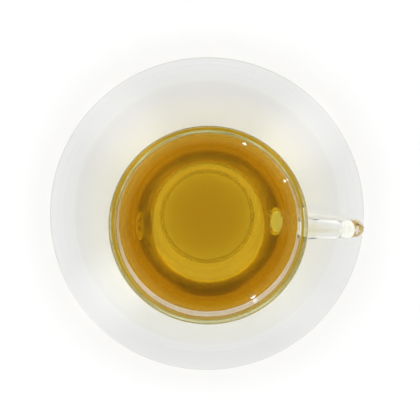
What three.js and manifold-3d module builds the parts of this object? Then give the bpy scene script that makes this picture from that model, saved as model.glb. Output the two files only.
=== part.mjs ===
// A clear glass cup of tea on its glass saucer, in millimetres, +Z up.
// The origin is the centre of the saucer's foot ring, on the surface that it stands on.

import * as THREE from "three";
import { mergeVertices } from "three/addons/utils/BufferGeometryUtils.js";
import Module from "manifold-3d";

const wasm = await Module();
wasm.setup();

// Saucer
const SAUCER_RADIUS = 70;
const SAUCER_THICKNESS = 3;
const WELL_RADIUS = 27;
const WELL_HEIGHT = 4.8;
const SLOPE_END_RADIUS = 58;
const SLOPE_ANGLE = 24;
const LIP_START_RADIUS = 62.5;
const LIP_ANGLE = 8;
const SAUCER_FOOT_INNER_RADIUS = 28;
const SAUCER_FOOT_OUTER_RADIUS = 32;
const SAUCER_FOOT_ROUND = 0.8;

// Cup
const CUP_RIM_RADIUS = 41;
const CUP_RIM_HEIGHT = 62;
const CUP_RIM_WALL = 3.3;
const CUP_LOW_WALL = 2.8;
const CUP_RIM_CROWN = 1.3;
const CUP_BASE_THICKNESS = 7;
const CUP_FOOT_RADIUS = 20.8;
const CUP_FOOT_HEIGHT = 2.2;
const CUP_FOOT_ROUND = 1.6;
const BOTTOM_FLAT_RADIUS = 18.2;
const CORNER_RADIUS = 5;
const CORNER_ANGLE = 50.2;
const SIDE_RADIUS = 68;
const SIDE_TOP_ANGLE = 83;

// Handle
const HANDLE_THICKNESS = 7.5;
const HANDLE_REACH = 66.5;
const UPPER_ROOT_RADIUS = 41;
const UPPER_ROOT_HEIGHT = 54.5;
const UPPER_ROOT_WIDTH = 9.2;
const LOWER_ROOT_RADIUS = 31;
const LOWER_ROOT_HEIGHT = 20.5;
const LOWER_ROOT_WIDTH = 12;
const FLARE_DEPTH = 0.92;

// Tea
const TEA_BELOW_RIM = 12.5;
const MENISCUS_HEIGHT = 0.9;
const MENISCUS_WIDTH = 3;
const FIT_GAP = 0.3;

// Facets
const TURN_SEGMENTS = 56;
const SIDE_STEPS = 10;
const SLOPE_STEPS = 6;
const ROUND_STEPS = 6;
const HANDLE_SIDES = 14;
const HANDLE_STEPS = 30;

const rad = THREE.MathUtils.degToRad;

// Points of an arc round (centreR, centreZ), angles in degrees from the outward direction.
function arc(centreR, centreZ, radius, from, to, steps) {
  const points = [];
  for (let i = 0; i <= steps; i += 1) {
    const angle = rad(from + ((to - from) * i) / steps);
    points.push(
      new THREE.Vector2(centreR + radius * Math.cos(angle), centreZ + radius * Math.sin(angle)),
    );
  }
  return points;
}

// The curve beside a line of points, to its right by distanceAt(height).
function offsetRight(points, distanceAt) {
  return points.map((point, i) => {
    const before = points[Math.max(i - 1, 0)];
    const after = points[Math.min(i + 1, points.length - 1)];
    const along = after.clone().sub(before).normalize();
    const distance = distanceAt(point.y);
    return new THREE.Vector2(point.x + along.y * distance, point.y - along.x * distance);
  });
}

// A profile turned round the vertical axis, as a manifold solid.
function turned(profile) {
  const geometry = new THREE.LatheGeometry(profile, TURN_SEGMENTS);
  geometry.rotateX(Math.PI / 2);
  return solidOf(geometry);
}

// A closed geometry as a manifold solid, without the collapsed triangles at its poles.
function solidOf(geometry) {
  geometry.deleteAttribute("normal");
  geometry.deleteAttribute("uv");
  const merged = mergeVertices(geometry, 1e-4);
  const index = merged.index.array;
  const triangles = [];
  for (let i = 0; i < index.length; i += 3) {
    const [a, b, c] = [index[i], index[i + 1], index[i + 2]];
    if (a !== b && b !== c && c !== a) triangles.push(a, b, c);
  }
  return new wasm.Manifold(
    new wasm.Mesh({
      numProp: 3,
      vertProperties: new Float32Array(merged.attributes.position.array),
      triVerts: new Uint32Array(triangles),
    }),
  );
}

function meshOf(name, solid, material) {
  const data = solid.getMesh();
  const geometry = new THREE.BufferGeometry();
  geometry.setAttribute("position", new THREE.BufferAttribute(data.vertProperties, 3));
  geometry.setIndex(new THREE.BufferAttribute(data.triVerts, 1));
  geometry.computeVertexNormals();
  const mesh = new THREE.Mesh(geometry, material);
  mesh.name = name;
  return mesh;
}

// The upper face of the saucer: a flat well, a rising slope, then a flatter lip.
function saucerTop() {
  const slopeRadius = (SLOPE_END_RADIUS - WELL_RADIUS) / Math.sin(rad(SLOPE_ANGLE));
  const slopeZ = WELL_HEIGHT + slopeRadius;
  const slope = arc(WELL_RADIUS, slopeZ, slopeRadius, -90, SLOPE_ANGLE - 90, SLOPE_STEPS);
  const crest = slope[slope.length - 1];
  const bend = Math.sin(rad(SLOPE_ANGLE)) - Math.sin(rad(LIP_ANGLE));
  const bendRadius = (LIP_START_RADIUS - SLOPE_END_RADIUS) / bend;
  const bendCentreR = crest.x + bendRadius * Math.sin(rad(SLOPE_ANGLE));
  const bendCentreZ = crest.y - bendRadius * Math.cos(rad(SLOPE_ANGLE));
  const blend = arc(bendCentreR, bendCentreZ, bendRadius, 90 + SLOPE_ANGLE, 90 + LIP_ANGLE, 3);
  const lipStart = blend[blend.length - 1];
  const lipEndR = SAUCER_RADIUS - (SAUCER_THICKNESS / 2) * (1 + Math.sin(rad(LIP_ANGLE)));
  const lipRise = (lipEndR - lipStart.x) * Math.tan(rad(LIP_ANGLE));
  return [...slope, ...blend.slice(1), new THREE.Vector2(lipEndR, lipStart.y + lipRise)];
}

// A plate of even thickness with a rounded edge, on a low foot ring.
function makeSaucer() {
  const top = saucerTop();
  const under = offsetRight(top, () => SAUCER_THICKNESS);
  const edgeTop = top[top.length - 1];
  const edgeUnder = under[under.length - 1];
  const edgeR = (edgeTop.x + edgeUnder.x) / 2;
  const edgeZ = (edgeTop.y + edgeUnder.y) / 2;
  const edge = arc(edgeR, edgeZ, SAUCER_THICKNESS / 2, LIP_ANGLE - 90, 90 + LIP_ANGLE, ROUND_STEPS);
  const wellUnder = WELL_HEIGHT - SAUCER_THICKNESS;
  const plate = [
    new THREE.Vector2(0, wellUnder),
    ...under.slice(0, -1),
    ...edge,
    ...top.slice(0, -1).reverse(),
    new THREE.Vector2(0, WELL_HEIGHT),
  ];
  return turned(plate).add(turned(saucerFootProfile(wellUnder)));
}

function saucerFootProfile(wellUnder) {
  const round = SAUCER_FOOT_ROUND;
  const buried = wellUnder + SAUCER_THICKNESS / 2;
  return [
    new THREE.Vector2(SAUCER_FOOT_INNER_RADIUS, buried),
    ...arc(SAUCER_FOOT_INNER_RADIUS + round, round, round, 180, 270, 3),
    ...arc(SAUCER_FOOT_OUTER_RADIUS - round, round, round, 270, 360, 3),
    new THREE.Vector2(SAUCER_FOOT_OUTER_RADIUS, buried),
    new THREE.Vector2(SAUCER_FOOT_INNER_RADIUS, buried),
  ];
}

const CUP_FOOT_Z = WELL_HEIGHT + FIT_GAP;
const CUP_BOTTOM_Z = CUP_FOOT_Z + CUP_BASE_THICKNESS;
const TEA_LEVEL = CUP_RIM_HEIGHT - TEA_BELOW_RIM;

// The inner wall from the edge of the flat bottom up to the rounded rim.
function innerWall() {
  const corner = arc(
    BOTTOM_FLAT_RADIUS, CUP_BOTTOM_Z + CORNER_RADIUS, CORNER_RADIUS, -90, CORNER_ANGLE - 90, 3,
  );
  const join = corner[corner.length - 1];
  const sideR = join.x - SIDE_RADIUS * Math.sin(rad(CORNER_ANGLE));
  const sideZ = join.y + SIDE_RADIUS * Math.cos(rad(CORNER_ANGLE));
  const side = arc(sideR, sideZ, SIDE_RADIUS, CORNER_ANGLE - 90, SIDE_TOP_ANGLE - 90, SIDE_STEPS);
  const rim = new THREE.Vector2(CUP_RIM_RADIUS - CUP_RIM_WALL, CUP_RIM_HEIGHT - CUP_RIM_CROWN);
  return [...corner, ...side.slice(1), rim];
}

// The wall's thickness, which grows a little towards the rim.
function wallAt(height) {
  const part = (height - CUP_BOTTOM_Z) / (CUP_RIM_HEIGHT - CUP_RIM_CROWN - CUP_BOTTOM_Z);
  return CUP_LOW_WALL + (CUP_RIM_WALL - CUP_LOW_WALL) * part;
}

function cupProfile() {
  const inner = innerWall();
  const outer = offsetRight(inner, wallAt).filter(
    (point) => point.x > CUP_FOOT_RADIUS && point.y > CUP_FOOT_Z + CUP_FOOT_HEIGHT,
  );
  const footCentreR = CUP_FOOT_RADIUS - CUP_FOOT_ROUND;
  const footCentreZ = CUP_FOOT_Z + CUP_FOOT_ROUND;
  return [
    new THREE.Vector2(0, CUP_FOOT_Z),
    ...arc(footCentreR, footCentreZ, CUP_FOOT_ROUND, -90, 0, 4),
    new THREE.Vector2(CUP_FOOT_RADIUS, CUP_FOOT_Z + CUP_FOOT_HEIGHT),
    ...outer.slice(0, -1),
    ...rimCrown(),
    ...inner.slice(0, -1).reverse(),
    new THREE.Vector2(0, CUP_BOTTOM_Z),
  ];
}

// Half an ellipse over the top of the wall, from its outer to its inner side.
function rimCrown() {
  const half = CUP_RIM_WALL / 2;
  return arc(0, 0, 1, 0, 180, ROUND_STEPS).map(
    (point) =>
      new THREE.Vector2(
        CUP_RIM_RADIUS - half + point.x * half,
        CUP_RIM_HEIGHT - CUP_RIM_CROWN + point.y * CUP_RIM_CROWN,
      ),
  );
}

// The space inside the cup, up past its rim.
function cupCavity() {
  const inner = innerWall();
  const above = CUP_RIM_HEIGHT + CUP_RIM_WALL;
  return turned([
    new THREE.Vector2(0, CUP_BOTTOM_Z),
    ...inner,
    new THREE.Vector2(CUP_RIM_RADIUS - CUP_RIM_WALL, above),
    new THREE.Vector2(0, above),
  ]);
}

// The middle line of the handle, from inside the upper wall to inside the lower wall.
function handlePath() {
  const reach = HANDLE_REACH - HANDLE_THICKNESS / 2;
  const top = UPPER_ROOT_HEIGHT;
  const low = LOWER_ROOT_HEIGHT;
  const middle = (top + low) / 2;
  const points = [
    [UPPER_ROOT_RADIUS - 2, top - 0.5],
    [UPPER_ROOT_RADIUS + 5, top + 1.2],
    [reach - 8.9, top - 0.4],
    [reach - 3.2, top - 5],
    [reach - 0.1, middle + 6],
    [reach - 2.6, middle - 7],
    [reach - 11.9, low + 4.5],
    [reach - 21.4, low + 1],
    [LOWER_ROOT_RADIUS - 2, low - 1],
  ];
  return new THREE.CatmullRomCurve3(points.map(([x, z]) => new THREE.Vector3(x, 0, z)));
}

function makeHandle() {
  const section = new THREE.Shape();
  section.absarc(0, 0, HANDLE_THICKNESS / 2, 0, 2 * Math.PI, false);
  const rod = new THREE.ExtrudeGeometry(section, {
    extrudePath: handlePath(),
    steps: HANDLE_STEPS,
    curveSegments: HANDLE_SIDES,
    bevelEnabled: false,
  });
  return solidOf(rod)
    .add(rootFlare(UPPER_ROOT_RADIUS, UPPER_ROOT_HEIGHT, UPPER_ROOT_WIDTH))
    .add(rootFlare(LOWER_ROOT_RADIUS, LOWER_ROOT_HEIGHT, LOWER_ROOT_WIDTH));
}

// A ball that widens the handle where it runs into the wall.
function rootFlare(radius, height, width) {
  const ball = new THREE.SphereGeometry(width / 2, HANDLE_SIDES, HANDLE_SIDES / 2);
  ball.scale(FLARE_DEPTH, 1, FLARE_DEPTH);
  ball.translate(radius, 0, height);
  return solidOf(ball);
}

function makeCup() {
  const handle = makeHandle().subtract(cupCavity());
  return turned(cupProfile()).add(handle);
}

// The tea up to its level, with its edge drawn up against the wall.
function makeTea() {
  const wall = offsetRight(innerWall(), () => -FIT_GAP);
  const floorZ = CUP_BOTTOM_Z + FIT_GAP;
  const below = wall.filter((point) => point.y > floorZ && point.y < TEA_LEVEL);
  const above = wall.find((point) => point.y >= TEA_LEVEL);
  const last = below[below.length - 1];
  const part = (TEA_LEVEL + MENISCUS_HEIGHT - last.y) / (above.y - last.y);
  const edge = last.clone().lerp(above, part);
  const rise = [0.25, 0.5, 0.75, 1].map((t) => {
    const fall = MENISCUS_HEIGHT * (1 - t) ** 2;
    return new THREE.Vector2(edge.x - MENISCUS_WIDTH * t, TEA_LEVEL + fall);
  });
  return turned([
    new THREE.Vector2(0, floorZ),
    new THREE.Vector2(BOTTOM_FLAT_RADIUS, floorZ),
    ...below,
    edge,
    ...rise,
    new THREE.Vector2(0, TEA_LEVEL),
  ]);
}

const glass = new THREE.MeshStandardMaterial({ color: 0xe6ebea, roughness: 0.05, metalness: 0 });
const tea = new THREE.MeshStandardMaterial({ color: 0xa97e0e, roughness: 0.05, metalness: 0 });

const cupOfTea = new THREE.Group();
cupOfTea.add(meshOf("saucer", makeSaucer(), glass));
cupOfTea.add(meshOf("cup", makeCup(), glass));
cupOfTea.add(meshOf("tea", makeTea(), tea));

export default cupOfTea;
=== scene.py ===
"""A clear glass cup of tea on its glass saucer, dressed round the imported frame.

Lengths in the classes below are in millimetres, and meshes are made in metres.
The cup's axis is the Z axis, and the handle points along +X.
"""

from __future__ import annotations

import logging
import math
from dataclasses import dataclass, field
from enum import Enum
from typing import Callable

import bmesh
import bpy
from mathutils import Matrix, Vector


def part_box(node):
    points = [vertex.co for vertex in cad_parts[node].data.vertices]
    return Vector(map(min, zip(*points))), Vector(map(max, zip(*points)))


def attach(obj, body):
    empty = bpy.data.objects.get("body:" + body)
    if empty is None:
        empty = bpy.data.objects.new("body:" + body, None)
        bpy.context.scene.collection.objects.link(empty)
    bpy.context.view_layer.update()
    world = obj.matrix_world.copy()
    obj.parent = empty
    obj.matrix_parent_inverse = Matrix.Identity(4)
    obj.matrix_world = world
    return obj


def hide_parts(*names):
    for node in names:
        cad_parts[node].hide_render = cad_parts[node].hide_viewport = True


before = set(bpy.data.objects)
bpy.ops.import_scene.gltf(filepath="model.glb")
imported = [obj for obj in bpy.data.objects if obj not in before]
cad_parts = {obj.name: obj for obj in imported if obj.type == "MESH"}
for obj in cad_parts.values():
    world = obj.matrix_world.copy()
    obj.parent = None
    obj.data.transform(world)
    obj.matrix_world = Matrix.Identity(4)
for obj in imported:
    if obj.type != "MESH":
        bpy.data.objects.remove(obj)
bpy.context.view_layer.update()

LOG = logging.getLogger("cup_of_tea")
MM = 0.001
TURN_STEPS = 300
MERGE_DISTANCE = 1e-7
CREASE_ANGLE = 40.0

Line = list[Vector]
Colour = tuple[float, float, float]
Pair = tuple[float, float]


class Slot(Enum):
    """The record's material slots."""

    SAUCER = "saucer_glass"
    CUP = "cup_glass"
    TEA = "tea"


class Joining(Enum):
    """What happens to a solid when a second one meets it."""

    FUSE = "UNION"
    CUT = "DIFFERENCE"


def arc(centre: Vector, radius: float, start: float, end: float, steps: int) -> Line:
    """Points of an arc in the (radius, height) plane.

    Args:
        centre: The arc's centre.
        radius: The arc's radius.
        start: Its first angle in degrees, from the outward direction.
        end: Its last angle in degrees.
        steps: How many straight steps it takes.

    Returns:
        The points in order, with both ends.
    """
    angles = [math.radians(start + (end - start) * i / steps) for i in range(steps + 1)]
    return [centre + radius * Vector((math.cos(a), math.sin(a))) for a in angles]


def beside(line: Line, distance_at: Callable[[Vector], float]) -> Line:
    """The line that runs to the right of another one.

    Args:
        line: Points in the (radius, height) plane.
        distance_at: Gives the distance between the lines at a point.

    Returns:
        One point for each point of the line.
    """
    moved = []
    for i, point in enumerate(line):
        along = line[min(i + 1, len(line) - 1)] - line[max(i - 1, 0)]
        along.normalize()
        moved.append(point + distance_at(point) * Vector((along.y, -along.x)))
    return moved


def through(knots: Line, steps: int) -> Line:
    """A smooth curve through some points.

    Args:
        knots: The points.
        steps: How many steps each span takes.

    Returns:
        The curve's points, with both ends.
    """
    before = knots[0] * 2 - knots[1]
    after = knots[-1] * 2 - knots[-2]
    line = [before, *knots, after]
    curve = []
    for a, b, c, d in zip(line, line[1:], line[2:], line[3:]):
        for i in range(steps):
            t = i / steps
            bend = 2 * a - 5 * b + 4 * c - d
            twist = 3 * b - a - 3 * c + d
            curve.append(b + t / 2 * (c - a) + t * t / 2 * bend + t**3 / 2 * twist)
    return [*curve, knots[-1]]


def finished(shape: bmesh.types.BMesh, name: str) -> bpy.types.Object:
    """Closes a bmesh into a smooth object at the origin, with its faces pointing out.

    Args:
        shape: The bmesh, which is freed.
        name: The new object's name.

    Returns:
        The new object, linked to the scene.
    """
    bmesh.ops.remove_doubles(shape, verts=shape.verts, dist=MERGE_DISTANCE)
    bmesh.ops.recalc_face_normals(shape, faces=shape.faces)
    mesh = bpy.data.meshes.new(name)
    shape.to_mesh(mesh)
    shape.free()
    piece = bpy.data.objects.new(name, mesh)
    bpy.context.scene.collection.objects.link(piece)
    smooth(piece)
    return piece


def smooth(piece: bpy.types.Object) -> None:
    """Shades a piece smoothly up to its creases."""
    piece.data.shade_smooth()
    piece.data.set_sharp_from_angle(angle=math.radians(CREASE_ANGLE))


def turned(name: str, outline: Line) -> bpy.types.Object:
    """Spins an outline a full turn round the cup's axis.

    Args:
        name: The new object's name.
        outline: Points in the (radius, height) plane, from the axis to the axis.

    Returns:
        The closed solid.
    """
    shape = bmesh.new()
    points = [shape.verts.new((p.x * MM, 0, p.y * MM)) for p in outline]
    edges = [shape.edges.new(pair) for pair in zip(points, points[1:])]
    bmesh.ops.spin(
        shape,
        geom=points + edges,
        cent=(0, 0, 0),
        axis=(0, 0, 1),
        dvec=(0, 0, 0),
        angle=2 * math.pi,
        steps=TURN_STEPS,
        use_merge=True,
    )
    return finished(shape, name)


def combine(piece: bpy.types.Object, tool: bpy.types.Object, joining: Joining) -> None:
    """Fuses a second solid to a piece, or cuts it out, and removes the second one.

    Args:
        piece: The piece that changes.
        tool: The solid that is used up.
        joining: Whether it is fused or cut out.
    """
    step = piece.modifiers.new("combine", "BOOLEAN")
    step.object = tool
    step.operation = joining.value
    step.solver = "EXACT"
    graph = bpy.context.evaluated_depsgraph_get()
    piece.data = bpy.data.meshes.new_from_object(piece.evaluated_get(graph))
    piece.modifiers.clear()
    bpy.data.objects.remove(tool)


class Socket:
    """A node's output, whose arithmetic adds Math nodes to its tree."""

    def __init__(self, tree: "NodeTree", output: bpy.types.NodeSocket) -> None:
        """Wraps an output of a tree."""
        self.tree = tree
        self.output = output

    def _math(self, operation: str, first: "Value", second: "Value") -> "Socket":
        """Adds one Math node and returns its result."""
        return self.tree.node("ShaderNodeMath", {"operation": operation}, {0: first, 1: second})

    def __add__(self, other: "Value") -> "Socket":
        """self + other"""
        return self._math("ADD", self, other)

    def __radd__(self, other: "Value") -> "Socket":
        """other + self"""
        return self._math("ADD", other, self)

    def __sub__(self, other: "Value") -> "Socket":
        """self - other"""
        return self._math("SUBTRACT", self, other)

    def __rsub__(self, other: "Value") -> "Socket":
        """other - self"""
        return self._math("SUBTRACT", other, self)

    def __mul__(self, other: "Value") -> "Socket":
        """self * other"""
        return self._math("MULTIPLY", self, other)

    def __rmul__(self, other: "Value") -> "Socket":
        """other * self"""
        return self._math("MULTIPLY", other, self)


Value = Socket | float | tuple


class NodeTree:
    """A node tree that is emptied and then built by expressions."""

    def __init__(self, tree: bpy.types.NodeTree) -> None:
        """Empties a tree to build in it."""
        tree.nodes.clear()
        self.tree = tree

    def node(
        self, kind: str, settings: dict, inputs: dict, output: str | int = 0
    ) -> Socket | None:
        """Adds a node.

        Args:
            kind: The node's type.
            settings: Its own settings, which are set first.
            inputs: Values or sockets for its inputs, by name or number.
            output: The output that is wanted, by name or number.

        Returns:
            That output, or None on a node that has no outputs.
        """
        made = self.tree.nodes.new(kind)
        for name, value in settings.items():
            setattr(made, name, value)
        for name, value in inputs.items():
            if isinstance(value, Socket):
                self.tree.links.new(value.output, made.inputs[name])
            else:
                made.inputs[name].default_value = value
        return Socket(self, made.outputs[output]) if made.outputs else None

    def vector(self, operation: str, first: Value, second: Value, output: str) -> Socket:
        """Adds a Vector Math node and returns one of its outputs."""
        inputs = {0: first, 1: second}
        return self.node("ShaderNodeVectorMath", {"operation": operation}, inputs, output)

    def place(self) -> Socket:
        """The Object coordinates, in metres."""
        return self.node("ShaderNodeTexCoord", {}, {}, "Object")

    def flat_place(self) -> Socket:
        """The Object coordinates with the height set to 0."""
        return self.vector("MULTIPLY", self.place(), (1, 1, 0), "Vector")

    def radius(self) -> Socket:
        """The distance from the Z axis, in metres."""
        return self.vector("DISTANCE", self.flat_place(), (0, 0, 0), "Value")

    def towards(self, way: tuple) -> Socket:
        """The cosine of the angle between the sky's place and a way, in the world's tree."""
        look = self.node("ShaderNodeTexCoord", {}, {}, "Generated")
        return self.vector("DOT_PRODUCT", look, way, "Value")

    def noise(self, scale: float, detail: float = 2.0) -> Socket:
        """Smooth noise on Object coordinates.

        Args:
            scale: Its features to the metre.
            detail: How many finer octaves are added.

        Returns:
            The noise, about 0 to 1.
        """
        inputs = {"Vector": self.place(), "Scale": scale, "Detail": detail}
        return self.node("ShaderNodeTexNoise", {}, inputs, "Fac")

    def tinted(self, factor: Socket, low: Socket | Colour, high: Socket | Colour) -> Socket:
        """Mixes two colours by a factor."""
        low, high = [end if isinstance(end, Socket) else (*end, 1) for end in (low, high)]
        inputs = {"Factor": factor, 6: low, 7: high}
        return self.node("ShaderNodeMix", {"data_type": "RGBA"}, inputs, 2)

    def rise(self, value: Socket, start: float, end: float) -> Socket:
        """A smooth step of a value, from 0 at start to 1 at end."""
        limits = {"Value": value, "From Min": start, "From Max": end}
        return self.node("ShaderNodeMapRange", {"interpolation_type": "SMOOTHSTEP"}, limits)

    def ring(self, start: float, end: float, top: float, soft: float) -> Socket:
        """1 in a flat ring round the Z axis and 0 elsewhere.

        Args:
            start: Its inner radius in metres.
            end: Its outer radius.
            top: The height up to which it reaches.
            soft: The width over which its edges fade.

        Returns:
            The mask.
        """
        radius = self.radius()
        height = self.node("ShaderNodeSeparateXYZ", {}, {0: self.place()}, "Z")
        across = self.rise(radius, start - soft, start) * (1 - self.rise(radius, end, end + soft))
        return across * (1 - self.rise(height, top, top + soft))

    def absorbed(self, passed: Colour, over: float) -> Socket:
        """The inside of a clear body that lets a colour through over a number of millimetres."""
        rates = [-math.log(part) / (over * MM) for part in passed]
        density = max(rates)
        colour = (*[1 - rate / density for rate in rates], 1)
        return self.node("ShaderNodeVolumeAbsorption", {}, {"Color": colour, "Density": density})

    def bump(self, height: Socket, depth: float) -> Socket:
        """Turns a height of 0 to 1 into a normal, for relief of a depth in millimetres."""
        return self.node("ShaderNodeBump", {}, {"Height": height, "Distance": depth * MM}, "Normal")


def new_material(name: str) -> tuple[bpy.types.Material, NodeTree]:
    """Makes a material and the empty tree for its nodes."""
    made = bpy.data.materials.new(name)
    made.use_nodes = True
    return made, NodeTree(made.node_tree)


@dataclass(frozen=True)
class ClearGlass:
    """Fire-polished glass: clear, a little grey, with a faint waviness from the mould."""

    name: str
    pale: Colour = (0.985, 0.985, 0.98)
    deep: Colour = (0.965, 0.967, 0.962)
    ior: float = 1.5
    waves_per_metre: float = 70.0
    wave_depth: float = 0.004
    passed: Colour = (0.81, 0.79, 0.52)
    passed_over: float = 70.0
    # Painted shade: a ring at the foot, tinted darker where the cup stands on the saucer.
    foot_shade_ring: tuple[float, float, float, float] | None = None
    foot_shade_colour: Colour = (0.55, 0.5, 0.4)

    def material(self) -> bpy.types.Material:
        """Builds the material."""
        made, tree = new_material(self.name)
        waves = tree.noise(self.waves_per_metre)
        colour = tree.tinted(waves, self.deep, self.pale)
        # Painted shade: the foot ring's glass is tinted darker where the cup meets the saucer.
        if self.foot_shade_ring:
            foot_shade = tree.ring(*[size * MM for size in self.foot_shade_ring])
            colour = tree.tinted(foot_shade, colour, self.foot_shade_colour)
        inputs = {
            "Base Color": colour,
            "Roughness": 0.0,
            "IOR": self.ior,
            "Transmission Weight": 1.0,
            "Specular Tint": (*self.pale, 1),
            "Normal": tree.bump(waves, self.wave_depth),
        }
        surface = tree.node("ShaderNodeBsdfPrincipled", {}, inputs)
        inside = tree.absorbed(self.passed, self.passed_over)
        tree.node("ShaderNodeOutputMaterial", {}, {"Surface": surface, "Volume": inside})
        return made


@dataclass(frozen=True)
class BubbleFilm:
    """A bubble's thin skin: clear, with a painted white highlight that glows a little on the side
    towards the glass.
    """

    name: str
    film_deep: Colour = (0.97, 0.96, 0.93)
    film_pale: Colour = (1.0, 0.99, 0.97)
    ior: float = 1.333
    # Painted highlight: a white patch that glows a little, on the bubble's side towards the glass.
    highlight_start: float = 35.8
    highlight_end: float = 36.6
    painted_highlight: float = 0.75
    highlight_deep: Colour = (0.85, 0.83, 0.8)
    highlight_pale: Colour = (0.95, 0.94, 0.92)
    highlight_roughness: float = 0.4
    highlight_glow: float = 0.25
    specks_per_metre: float = 900.0

    def material(self) -> bpy.types.Material:
        """Builds the material."""
        made, tree = new_material(self.name)
        specks = tree.noise(self.specks_per_metre)
        # Painted highlight: white and glowing on the side towards the glass, mixed over the clear film.
        mask = tree.rise(tree.radius(), self.highlight_start * MM, self.highlight_end * MM) * self.painted_highlight
        film_inputs = {
            "Base Color": tree.tinted(specks, self.film_deep, self.film_pale),
            "Roughness": 0.0,
            "IOR": self.ior,
            "Transmission Weight": 1.0,
        }
        highlight_inputs = {
            "Base Color": tree.tinted(specks, self.highlight_deep, self.highlight_pale),
            "Roughness": self.highlight_roughness,
            "Emission Color": (self.highlight_glow, self.highlight_glow, self.highlight_glow, 1),
            "Emission Strength": 1.0,
        }
        film = tree.node("ShaderNodeBsdfPrincipled", {}, film_inputs)
        painted_highlight = tree.node("ShaderNodeBsdfPrincipled", {}, highlight_inputs)
        surface = tree.node("ShaderNodeMixShader", {}, {0: mask, 1: film, 2: painted_highlight})
        tree.node("ShaderNodeOutputMaterial", {}, {"Surface": surface})
        return made


@dataclass(frozen=True)
class BrewedTea:
    """Golden-brown tea, whose colour grows with the length of the light's way through it."""

    name: str
    pale: Colour = (1.0, 1.0, 0.99)
    deep: Colour = (0.99, 0.985, 0.97)
    passed: Colour = (0.815, 0.533, 0.018)
    passed_over: float = 42.0
    ior: float = 1.333
    waves_per_metre: float = 45.0
    wave_depth: float = 0.001

    def material(self) -> bpy.types.Material:
        """Builds the material."""
        made, tree = new_material(self.name)
        waves = tree.noise(self.waves_per_metre)
        inputs = {
            "Base Color": tree.tinted(waves, self.deep, self.pale),
            "Roughness": 0.0,
            "IOR": self.ior,
            "Transmission Weight": 1.0,
            "Normal": tree.bump(waves, self.wave_depth),
        }
        surface = tree.node("ShaderNodeBsdfPrincipled", {}, inputs)
        inside = tree.absorbed(self.passed, self.passed_over)
        tree.node("ShaderNodeOutputMaterial", {}, {"Surface": surface, "Volume": inside})
        return made


def dress(
    piece: bpy.types.Object, finish: bpy.types.Material, node: str | None = None
) -> None:
    """Gives a piece its material and its place in the frame.

    Args:
        piece: The finished piece.
        finish: Its material.
        node: The CAD node that it stands for, if there is one.
    """
    piece.data.materials.clear()
    piece.data.materials.append(finish)
    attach(piece, "root")
    if node:
        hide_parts(node)
    triangles = sum(len(face.vertices) - 2 for face in piece.data.polygons)
    LOG.info("%s: %d triangles, stands for %s", piece.name, triangles, node or "no CAD node")


@dataclass
class Saucer:
    """A plate of even thickness: a flat well, a rising slope and a flatter lip."""

    radius: float = field(default_factory=lambda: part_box("saucer")[1].y / MM)
    thickness: float = 3.0
    well_radius: float = 27.0
    well_height: float = 4.8
    slope_end: float = 58.0
    slope_angle: float = 24.0
    lip_start: float = 62.5
    lip_angle: float = 8.0
    foot_inner: float = 28.0
    foot_outer: float = 32.0
    foot_round: float = 0.8
    foot_clearance: float = 0.3
    step_radii: Pair = (62.8, 66.0)
    step_depth: float = 0.25
    step_width: float = 0.9
    slope_parts: int = 40
    bend_parts: int = 12
    lip_parts: int = 48
    foot_parts: int = 6
    edge_parts: int = 16

    @property
    def edge_thickness(self) -> float:
        """The plate's thickness outside the two steps under its lip."""
        return self.thickness - self.step_depth * len(self.step_radii)

    def top(self) -> Line:
        """The upper face from the edge of the well to the start of the rounded edge."""
        steep = math.radians(self.slope_angle)
        flat = math.radians(self.lip_angle)
        slope_radius = (self.slope_end - self.well_radius) / math.sin(steep)
        slope_centre = Vector((self.well_radius, self.well_height + slope_radius))
        slope = arc(slope_centre, slope_radius, -90, self.slope_angle - 90, self.slope_parts)
        bend_radius = (self.lip_start - self.slope_end) / (math.sin(steep) - math.sin(flat))
        bend_centre = slope[-1] + bend_radius * Vector((math.sin(steep), -math.cos(steep)))
        start, end = 90 + self.slope_angle, 90 + self.lip_angle
        bend = arc(bend_centre, bend_radius, start, end, self.bend_parts)
        lip_end = self.radius - self.edge_thickness / 2 * (1 + math.sin(flat))
        lip_rise = (lip_end - bend[-1].x) * math.tan(flat)
        lip = bend[-1] + Vector((lip_end - bend[-1].x, lip_rise))
        parts = range(1, self.lip_parts)
        middle = [bend[-1].lerp(lip, part / self.lip_parts) for part in parts]
        return [*slope, *bend[1:], *middle, lip]

    def thickness_at(self, radius: float) -> float:
        """The thickness at a radius, which drops at both steps."""
        drop = 0.0
        for start in self.step_radii:
            part = min(max((radius - start) / self.step_width, 0.0), 1.0)
            drop += self.step_depth * part * part * (3 - 2 * part)
        return self.thickness - drop

    def foot(self) -> Line:
        """The foot ring's outline from its inner to its outer side."""
        turn = self.foot_round
        inner = arc(Vector((self.foot_inner + turn, turn)), turn, 180, 270, self.foot_parts)
        outer = arc(Vector((self.foot_outer - turn, turn)), turn, 270, 360, self.foot_parts)
        return [*inner, *outer]

    def outline(self) -> Line:
        """The whole section, from the axis underneath to the axis on top."""
        top = self.top()
        under = beside(top, lambda point: self.thickness_at(point.x))
        edge_centre = (top[-1] + under[-1]) / 2
        half = self.edge_thickness / 2
        start, end = self.lip_angle - 90, self.lip_angle + 90
        edge = arc(edge_centre, half, start, end, self.edge_parts)
        under_well = self.well_height - self.thickness
        clear = self.foot_outer + self.foot_clearance
        clear_of_foot = [point for point in under[:-1] if point.x > clear]
        return [
            Vector((0, under_well)),
            Vector((self.foot_inner - self.foot_clearance, under_well)),
            *self.foot(),
            *clear_of_foot,
            *edge,
            *reversed(top[:-1]),
            Vector((0, self.well_height)),
        ]

    def build(self, finish: ClearGlass) -> None:
        """Makes the saucer and dresses it."""
        dress(turned("saucer_plate", self.outline()), finish.material(), "saucer")


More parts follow.
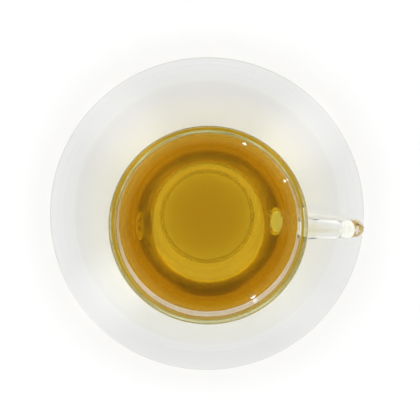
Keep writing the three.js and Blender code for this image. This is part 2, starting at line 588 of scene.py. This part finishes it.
@dataclass
class Bowl:
    """The cup's bowl: a thick flat bottom, a tight corner, a long curved side and a flat-crowned rim."""

    rim_radius: float = field(default_factory=lambda: -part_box("cup")[0].x / MM)
    rim_height: float = field(default_factory=lambda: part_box("cup")[1].z / MM)
    base_height: float = field(default_factory=lambda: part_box("cup")[0].z / MM)
    rim_wall: float = 3.3
    low_wall: float = 2.8
    crown: float = 1.3
    crown_fullness: float = 0.5
    base_thickness: float = 7.0
    foot_radius: float = 20.8
    foot_height: float = 2.2
    foot_round: float = 1.6
    flat_radius: float = 18.2
    corner_radius: float = 5.0
    corner_angle: float = 50.2
    side_radius: float = 68.0
    side_top_angle: float = 83.0
    # Sizes of the painted shade at the foot, where the cup stands on the saucer.
    foot_shade_width: float = 1.3
    foot_shade_margin: float = 0.5
    foot_shade_height: float = 2.5
    foot_shade_soft: float = 0.6
    corner_parts: int = 10
    side_parts: int = 64
    upper_parts: int = 8
    crown_parts: int = 24
    foot_parts: int = 32

    @property
    def bottom(self) -> float:
        """The height of the flat inner bottom."""
        return self.base_height + self.base_thickness

    @property
    def foot_shade_ring(self) -> tuple[float, float, float, float]:
        """The ring of painted shade at the foot, a darker tint where the cup stands on the saucer: its
        two radii, its top and how softly it ends.
        """
        start = self.foot_radius - self.foot_shade_width
        end = self.foot_radius + self.foot_shade_margin
        return start, end, self.base_height + self.foot_shade_height, self.foot_shade_soft

    def inner(self) -> Line:
        """The inner wall from the edge of the flat bottom to the start of the crown."""
        corner_centre = Vector((self.flat_radius, self.bottom + self.corner_radius))
        start, end = self.corner_angle - 90, self.side_top_angle - 90
        corner = arc(corner_centre, self.corner_radius, -90, start, self.corner_parts)
        lean = math.radians(self.corner_angle)
        side_centre = corner[-1] + self.side_radius * Vector((-math.sin(lean), math.cos(lean)))
        side = arc(side_centre, self.side_radius, start, end, self.side_parts)
        rim = Vector((self.rim_radius - self.rim_wall, self.rim_height - self.crown))
        parts = range(1, self.upper_parts + 1)
        upper = [side[-1].lerp(rim, part / self.upper_parts) for part in parts]
        return [*corner, *side[1:], *upper]

    def wall_at(self, point: Vector) -> float:
        """The wall's thickness, which grows a little towards the rim."""
        part = (point.y - self.bottom) / (self.rim_height - self.crown - self.bottom)
        return self.low_wall + (self.rim_wall - self.low_wall) * part

    def rim_crown(self) -> Line:
        """The flat-crowned top of the wall, from its outer to its inner side."""
        half = self.rim_wall / 2
        points = []
        for point in arc(Vector((0, 0)), 1.0, 0, 180, self.crown_parts):
            across = math.copysign(abs(point.x) ** self.crown_fullness, point.x)
            up = abs(point.y) ** self.crown_fullness
            centre = Vector((self.rim_radius - half, self.rim_height - self.crown))
            points.append(centre + Vector((half * across, self.crown * up)))
        return points

    def outline(self) -> Line:
        """The whole section, from the axis underneath to the axis inside."""
        foot_top = self.base_height + self.foot_height
        outer = [
            point
            for point in beside(self.inner(), self.wall_at)
            if point.x > self.foot_radius and point.y > foot_top
        ]
        foot_x = self.foot_radius - self.foot_round
        foot_centre = Vector((foot_x, self.base_height + self.foot_round))
        return [
            Vector((0, self.base_height)),
            *arc(foot_centre, self.foot_round, -90, 0, self.foot_parts),
            Vector((self.foot_radius, foot_top)),
            *outer[:-1],
            *self.rim_crown(),
            *reversed(self.inner()[:-1]),
            Vector((0, self.bottom)),
        ]

    def cavity(self) -> bpy.types.Object:
        """The space inside the bowl, as a solid to cut with."""
        above = self.rim_height + self.rim_wall
        top = Vector((self.rim_radius - self.rim_wall, above))
        outline = [Vector((0, self.bottom)), *self.inner(), top, Vector((0, above))]
        return turned("cavity", outline)


@dataclass
class Flare:
    """A ball of glass that widens the handle where it runs into the wall."""

    place: Pair
    half_sizes: tuple[float, float, float]
    segments: int = 48
    rings: int = 32

    def build(self) -> bpy.types.Object:
        """Makes the ball as a stretched sphere."""
        shape = bmesh.new()
        sizes = {"u_segments": self.segments, "v_segments": self.rings, "radius": MM}
        bmesh.ops.create_uvsphere(shape, **sizes)
        bmesh.ops.scale(shape, vec=self.half_sizes, verts=shape.verts)
        x, z = self.place
        bmesh.ops.translate(shape, vec=(x * MM, 0, z * MM), verts=shape.verts)
        return finished(shape, "flare")


@dataclass
class Handle:
    """A round rod bent into a loop, wider at both roots.

    Its path runs through points whose offsets, to the right and up, start at the upper root,
    at the loop's outer end on three heights, and at the lower root.
    """

    reach: float = field(default_factory=lambda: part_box("cup")[1].x / MM)
    rod_radius: float = 3.75
    upper_root: Pair = (41.0, 54.5)
    lower_root: Pair = (31.0, 21.0)
    from_upper_root: tuple[Pair, ...] = ((-2.0, -0.5), (5.0, 1.2))
    from_upper_end: tuple[Pair, ...] = ((-8.9, -0.8), (-3.4, -5.2))
    from_middle_end: tuple[Pair, ...] = ((-0.1, 5.0), (-2.2, -7.0))
    from_lower_end: tuple[Pair, ...] = ((-12.5, 4.0), (-22.0, 0.8))
    from_lower_root: tuple[Pair, ...] = ((-2.0, -1.0),)
    lower_flare: tuple[float, float, float] = (5.3, 6.4, 5.5)
    upper_growth: float = 1.0
    upper_flare_length: float = 6.0
    sides: int = 48
    steps_per_span: int = 10

    def path(self) -> Line:
        """The rod's middle line in the (x, z) plane, from the upper to the lower wall."""
        end = self.reach - self.rod_radius
        top = self.upper_root[1]
        low = self.lower_root[1]
        groups = (
            (self.upper_root, self.from_upper_root),
            ((end, top), self.from_upper_end),
            ((end, (top + low) / 2), self.from_middle_end),
            ((end, low), self.from_lower_end),
            (self.lower_root, self.from_lower_root),
        )
        knots = [
            Vector((x + right, z + up)) for (x, z), offsets in groups for right, up in offsets
        ]
        return through(knots, self.steps_per_span)

    def rod(self) -> bpy.types.Object:
        """Extrudes a ring along the path."""
        path = self.path()
        stations = []
        for i, point in enumerate(path):
            out = (point - path[0]).length / self.upper_flare_length
            width = 1 + self.upper_growth / self.rod_radius * math.exp(-out * out)
            along = path[min(i + 1, len(path) - 1)] - path[max(i - 1, 0)]
            lean = math.atan2(along.x, along.y)
            place = Matrix.Translation((point.x * MM, 0, point.y * MM))
            turn = Matrix.Rotation(lean, 4, "Y")
            stations.append(place @ turn @ Matrix.Diagonal((width, width, 1, 1)))
        shape = bmesh.new()
        bmesh.ops.create_circle(
            shape,
            cap_ends=False,
            segments=self.sides,
            radius=self.rod_radius * MM,
            matrix=stations[0],
        )
        ring = list(shape.edges)
        for before, after in zip(stations, stations[1:]):
            made = bmesh.ops.extrude_edge_only(shape, edges=ring)["geom"]
            points = [item for item in made if isinstance(item, bmesh.types.BMVert)]
            step = after @ before.inverted()
            bmesh.ops.transform(shape, matrix=step, verts=points)
            ends = set(points)
            edges = [item for item in made if isinstance(item, bmesh.types.BMEdge)]
            ring = [edge for edge in edges if ends.issuperset(edge.verts)]
        bmesh.ops.holes_fill(shape, edges=shape.edges, sides=0)
        return finished(shape, "rod")

    def build(self) -> bpy.types.Object:
        """Makes the rod, which grows into the upper wall, with a flare at the lower one."""
        rod = self.rod()
        combine(rod, Flare(self.lower_root, self.lower_flare).build(), Joining.FUSE)
        return rod


@dataclass
class Cup:
    """The bowl and its handle, fused into one piece of glass."""

    bowl: Bowl
    handle: Handle

    def build(self, finish: ClearGlass) -> None:
        """Makes the cup and dresses it."""
        handle = self.handle.build()
        combine(handle, self.bowl.cavity(), Joining.CUT)
        cup = turned("cup_bowl_and_handle", self.bowl.outline())
        combine(cup, handle, Joining.FUSE)
        smooth(cup)
        dress(cup, finish.material(), "cup")


@dataclass
class Tea:
    """The tea up to its level, reaching just into the wall, with its edge drawn up the glass."""

    bowl: Bowl
    level: float = 49.5
    overlap: float = 0.15
    edge_rise: float = 0.9
    edge_fall: float = 1.9
    edge_width: float = 8.0
    edge_parts: int = 12

    def outline(self) -> Line:
        """The whole section, from the axis at the bottom to the axis on top."""
        top = self.level + self.edge_rise
        wall = beside(self.bowl.inner(), lambda point: self.overlap)
        wet = [point for point in wall if point.y < top]
        edge = wet[-1].x
        surface = []
        for part in range(self.edge_parts + 1):
            out = self.edge_width * part / self.edge_parts
            rise = self.edge_rise * math.exp(-out / self.edge_fall)
            surface.append(Vector((edge - out, self.level + rise)))
        return [
            Vector((0, self.bowl.bottom - self.overlap)),
            *wet,
            *surface,
            Vector((0, self.level)),
        ]

    def build(self, finish: BrewedTea) -> None:
        """Makes the tea and dresses it."""
        dress(turned("tea_drink", self.outline()), finish.material(), "tea")


@dataclass(frozen=True)
class Bubble:
    """A small bubble that floats on the tea beside the glass."""

    azimuth: float
    out: float
    radius: float
    film: float = 0.12
    sunk_angle: float = 25.0
    sunk_depth: float = 0.1
    inner_parts: int = 12
    outer_parts: int = 14

    def build(self, tea: Tea, number: int, finish: BubbleFilm) -> None:
        """Makes the bubble and dresses it."""
        middle = Vector((0.0, 0.0))
        inner = arc(middle, self.radius - self.film, 90, -self.sunk_angle, self.inner_parts)
        outer = arc(middle, self.radius, -self.sunk_angle, 90, self.outer_parts)
        dome = turned(f"tea_bubble_{number}", [*inner, *outer])
        turn = math.radians(self.azimuth)
        lift = self.radius * math.sin(math.radians(self.sunk_angle))
        foot = tea.level + lift - self.sunk_depth
        place = Vector((self.out * math.cos(turn), self.out * math.sin(turn), foot)) * MM
        dome.data.transform(Matrix.Translation(place))
        dress(dome, finish.material())


SAUCER_GLASS = ClearGlass("saucer_glass", pale=(0.888, 0.9, 0.922), deep=(0.878, 0.89, 0.914))
BUBBLES = (Bubble(-56.3, 35.8, 1.3), Bubble(67.9, 36.0, 1.0), Bubble(31.3, 36.4, 0.7))


@dataclass(frozen=True)
class SkyPatch:
    """A round patch of the studio's white surround, brighter or darker than the rest."""

    azimuth: float
    zenith_angle: float = 44.0
    core: float = 8.0
    edge: float = 16.0
    strength: float = 0.4

    def direction(self) -> tuple[float, float, float]:
        """The way to its middle."""
        turn, down = math.radians(self.azimuth), math.radians(self.zenith_angle)
        flat = math.sin(down)
        return flat * math.cos(turn), flat * math.sin(turn), math.cos(down)


@dataclass(frozen=True)
class FloorGlowPatch:
    """A patch of painted light on the table: its emission is brighter there, in a soft round pool."""

    azimuth: float
    strength: float
    out: float = 54.0
    core: float = 4.0
    edge: float = 24.0

    def centre(self) -> tuple[float, float, float]:
        """The middle of its patch, in metres."""
        turn = math.radians(self.azimuth)
        return self.out * MM * math.cos(turn), self.out * MM * math.sin(turn), 0.0


@dataclass
class Studio:
    """A white floor and a white surround, dimmer overhead and darkest near the camera."""

    surround: float = 1.0
    horizon_level: float = 0.3
    horizon_start: float = 2.0
    horizon_end: float = 35.0
    overhead_level: float = 0.58
    overhead_core: float = 28.0
    overhead_edge: float = 55.0
    tint: Colour = (0.95, 0.985, 1.0)
    lights: tuple[SkyPatch, ...] = tuple(SkyPatch(azimuth) for azimuth in (45, 135, 225, 315))
    shades: tuple[SkyPatch, ...] = (
        SkyPatch(90, 4.6, 2.5, 8.0, -0.86),
        SkyPatch(270, 5.2, 2.5, 7.0, -0.75),
    )
    glow_patches: tuple[FloorGlowPatch, ...] = (
        FloorGlowPatch(42, 0.10),
        FloorGlowPatch(136, 0.07),
        FloorGlowPatch(222, 0.11),
        FloorGlowPatch(316, 0.04),
    )
    floor_half: float = 3000.0
    floor_drop: float = 0.2
    floor_colour: Colour = (0.868, 0.852, 0.845)
    floor_glow: float = 0.125
    exposure: float = 0.45
    bounces: int = 32
    glossy_bounces: int = 12
    diffuse_bounces: int = 4

    def spot(self, tree: NodeTree, way: tuple, core: float, edge: float) -> Socket:
        """A soft round spot on the sky.

        Args:
            tree: The world's nodes.
            way: The direction of its middle.
            core: The angle in degrees up to which it is full.
            edge: The angle at which it ends.

        Returns:
            1 in the spot and 0 outside.
        """
        start, end = math.cos(math.radians(edge)), math.cos(math.radians(core))
        return tree.rise(tree.towards(way), start, end)

    def patch(self, tree: NodeTree, patch: SkyPatch) -> Socket:
        """A patch's change of the light, 0 outside it."""
        return self.spot(tree, patch.direction(), patch.core, patch.edge) * patch.strength

    def open_sky(self, tree: NodeTree) -> Socket:
        """1 high up and 0 at the horizon, where the room is darker."""
        start = math.sin(math.radians(self.horizon_start))
        end = math.sin(math.radians(self.horizon_end))
        return tree.rise(tree.towards((0, 0, 1)), start, end)

    def build_surround(self) -> None:
        """Makes the world."""
        world = bpy.data.worlds.new("surround")
        bpy.context.scene.world = world
        world.use_nodes = True
        tree = NodeTree(world.node_tree)
        overhead = self.spot(tree, (0, 0, 1), self.overhead_core, self.overhead_edge)
        light = self.surround - overhead * (self.surround - self.overhead_level)
        light = light - (1 - self.open_sky(tree)) * (self.surround - self.horizon_level)
        for patch in self.lights:
            light = light + self.patch(tree, patch)
        for patch in self.shades:
            light = light * (1 + self.patch(tree, patch))
        inputs = {"Color": (*self.tint, 1), "Strength": light}
        sky = tree.node("ShaderNodeBackground", {}, inputs)
        tree.node("ShaderNodeOutputWorld", {}, {"Surface": sky})

    def table_glow(self, tree: NodeTree) -> Socket:
        """The table's own light at every place, which is the same in every colour: an even glow with
        brighter pools of painted light.
        """
        flat = tree.flat_place()
        patches = []
        # Painted light: soft brighter pools in the table's glow near the saucer's diagonals.
        for glow_patch in self.glow_patches:
            away = tree.vector("DISTANCE", flat, glow_patch.centre(), "Value")
            patches.append((1 - tree.rise(away, glow_patch.core * MM, glow_patch.edge * MM)) * glow_patch.strength)
        return sum(patches) + self.floor_glow

    def build_floor(self) -> None:
        """Makes the floor."""
        shape = bmesh.new()
        bmesh.ops.create_grid(shape, x_segments=1, y_segments=1, size=self.floor_half * MM)
        down = (0, 0, -self.floor_drop * MM)
        bmesh.ops.translate(shape, vec=down, verts=shape.verts)
        floor = finished(shape, "floor")
        material, tree = new_material("pale_floor")
        inputs = {
            "Base Color": (*self.floor_colour, 1),
            "Roughness": 1.0,
            "Specular IOR Level": 0.0,
            "Emission Color": self.table_glow(tree),
            "Emission Strength": 1.0,
        }
        surface = tree.node("ShaderNodeBsdfPrincipled", {}, inputs)
        tree.node("ShaderNodeOutputMaterial", {}, {"Surface": surface})
        floor.data.materials.append(material)

    def build(self) -> None:
        """Makes the floor, the surround and how light travels through the glass."""
        self.build_floor()
        self.build_surround()
        scene = bpy.context.scene
        scene.view_settings.view_transform = "Standard"
        scene.view_settings.exposure = self.exposure
        paths = scene.cycles
        paths.max_bounces = self.bounces
        paths.transmission_bounces = self.bounces
        paths.glossy_bounces = self.glossy_bounces
        paths.diffuse_bounces = self.diffuse_bounces
        paths.caustics_refractive = True
        paths.caustics_reflective = True
        paths.blur_glossy = 0.0
        paths.sample_clamp_indirect = 0.0
        LOG.info("studio: floor and surround")


@dataclass
class PhotoCamera:
    """The camera nearly straight above, solved from the saucer's and the rim's circles."""

    picture: float = 420.0
    saucer_centre: Pair = (207.2, 215.3)
    saucer_pixels: float = 157.0
    saucer_height: float = 13.0
    roll: float = 2.5
    shift_right: float = -6.0
    shift_up: float = 53.5
    distance: float = 600.0
    sensor: float = 36.0
    nearest: float = 10.0

    def build(self, saucer: Saucer) -> None:
        """Makes the scene's camera."""
        scale = self.saucer_pixels / saucer.radius
        turn = math.radians(self.roll)
        across = Vector((math.cos(turn), math.sin(turn), 0))
        up_page = Vector((-math.sin(turn), math.cos(turn), 0))
        base = Vector((0, 0, self.saucer_height))
        eye = base + self.shift_up * up_page + self.shift_right * across
        eye.z += self.distance
        middle = self.picture / 2
        x, y = self.saucer_centre
        target = base + (middle - x) / scale * across + (y - middle) / scale * up_page
        ahead = (target - eye).normalized()
        right = ahead.cross(up_page).normalized()
        up = right.cross(ahead)
        data = bpy.data.cameras.new("camera")
        data.sensor_width = self.sensor
        data.lens = self.sensor / 2 * (target - eye).length * scale / middle
        data.clip_start = self.nearest * MM
        camera = bpy.data.objects.new("camera", data)
        bpy.context.scene.collection.objects.link(camera)
        aim = Matrix((right, up, -ahead)).transposed().to_4x4()
        camera.matrix_world = Matrix.Translation(eye * MM) @ aim
        bpy.context.scene.camera = camera
        LOG.info("camera: %.1f mm lens", data.lens)


def main() -> None:
    """Builds the studio, the camera and every piece."""
    logging.basicConfig(level=logging.INFO, format="%(name)s: %(message)s")
    saucer = Saucer()
    bowl = Bowl()
    PhotoCamera().build(saucer)
    Studio().build()
    saucer.build(SAUCER_GLASS)
    Cup(bowl, Handle()).build(ClearGlass("cup_glass", foot_shade_ring=bowl.foot_shade_ring))
    tea = Tea(bowl)
    tea.build(BrewedTea("brewed_tea"))
    film = BubbleFilm("bubble_film")
    for number, bubble in enumerate(BUBBLES, 1):
        bubble.build(tea, number, film)


if __name__ == "__main__":
    main()
